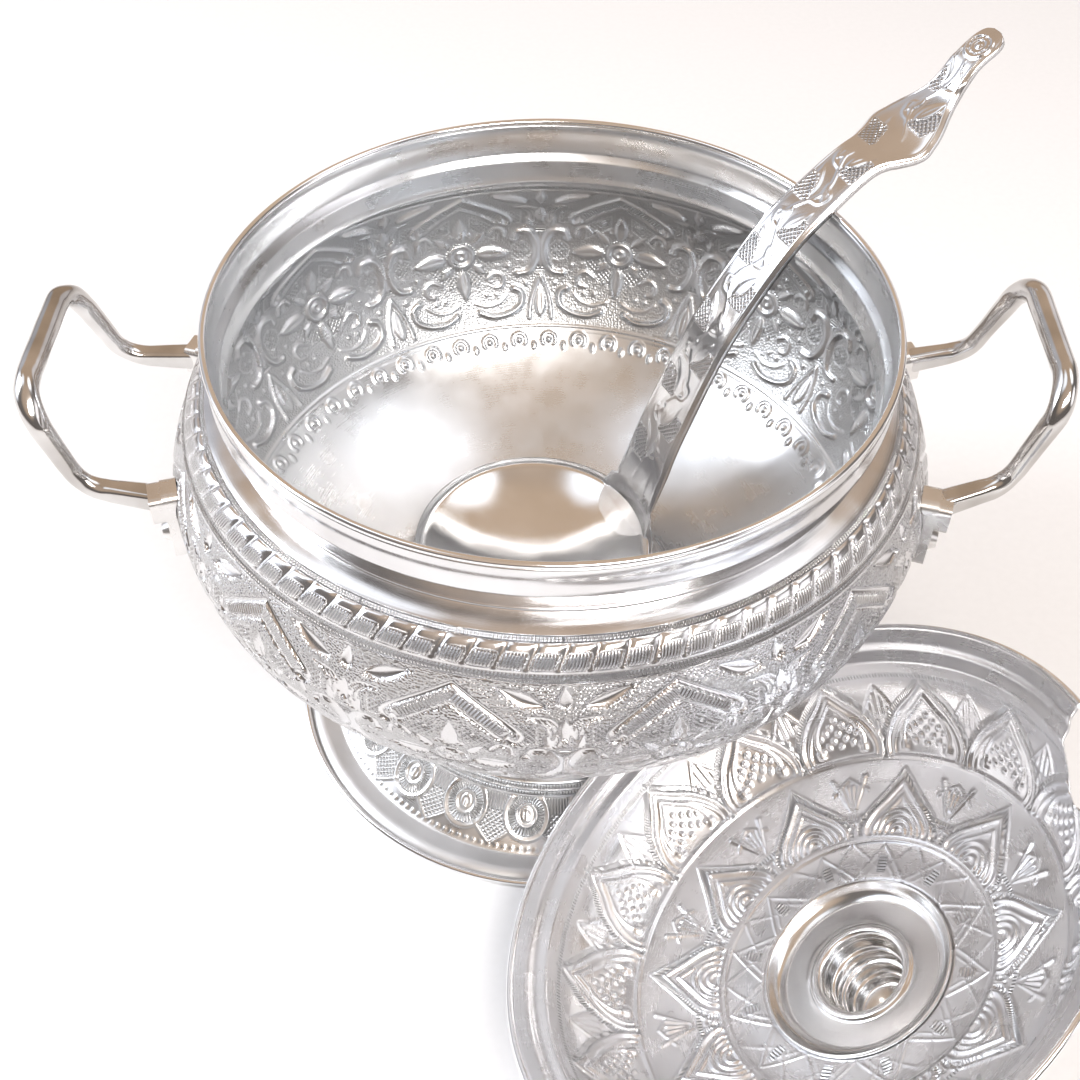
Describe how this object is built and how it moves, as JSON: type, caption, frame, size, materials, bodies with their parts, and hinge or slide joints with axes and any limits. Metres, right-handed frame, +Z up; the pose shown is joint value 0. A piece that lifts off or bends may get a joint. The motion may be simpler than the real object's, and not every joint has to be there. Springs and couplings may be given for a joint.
{
  "type": "lidded serving bowl with ladle",
  "caption": "Round footed serving bowl of embossed bright aluminium with side loop handles, a ladle standing in it and its domed lid lying inside up beside it.",
  "frame": {"origin": "on the bowl's axis, at the level of the surface that the foot stands on", "axes": "+Z up along the bowl's axis; +X through the right-hand handle; -Y towards the side that the lid lies on"},
  "size_m": [0.314, 0.3466, 0.225],
  "materials": {
    "embossed_aluminium": "embossed and chased, bright",
    "bright_edge": "polished rolled edge",
    "cast_handle": "cast and polished, faintly rough underneath",
    "rivet_metal": "plain",
    "spun_aluminium": "spun and polished",
    "ladle_aluminium": "polished, engraved handle"
  },
  "bodies": {
    "bowl": {"bowl_shell": "embossed_aluminium", "rim_wire": "bright_edge", "foot_shell": "embossed_aluminium", "foot_edge_wire": "bright_edge", "foot_rivet": "rivet_metal", "foot_washer": "rivet_metal", "handle_left": "cast_handle", "handle_right": "cast_handle", "lug_left_front": "cast_handle", "lug_left_back": "cast_handle", "lug_right_front": "cast_handle", "lug_right_back": "cast_handle", "lug_rivets_left": "rivet_metal", "lug_rivets_right": "rivet_metal"},
    "lid": {"lid_shell": "embossed_aluminium", "lid_edge_wire": "bright_edge", "knob_seat_ring": "spun_aluminium", "knob_shell": "spun_aluminium", "knob_tip": "spun_aluminium"},
    "ladle": {"ladle_scoop": "ladle_aluminium", "ladle_handle": "ladle_aluminium"}
  },
  "joints": [
    {"name": "lid_lift", "type": "slide", "parent": "bowl", "child": "lid", "axis": [0.5003, -0.7204, 0.4803], "range_m": [0, 0.2]},
    {"name": "ladle_lift", "type": "slide", "parent": "bowl", "child": "ladle", "axis": [0, 0, 1], "range_m": [0, 0.14]}
  ]
}
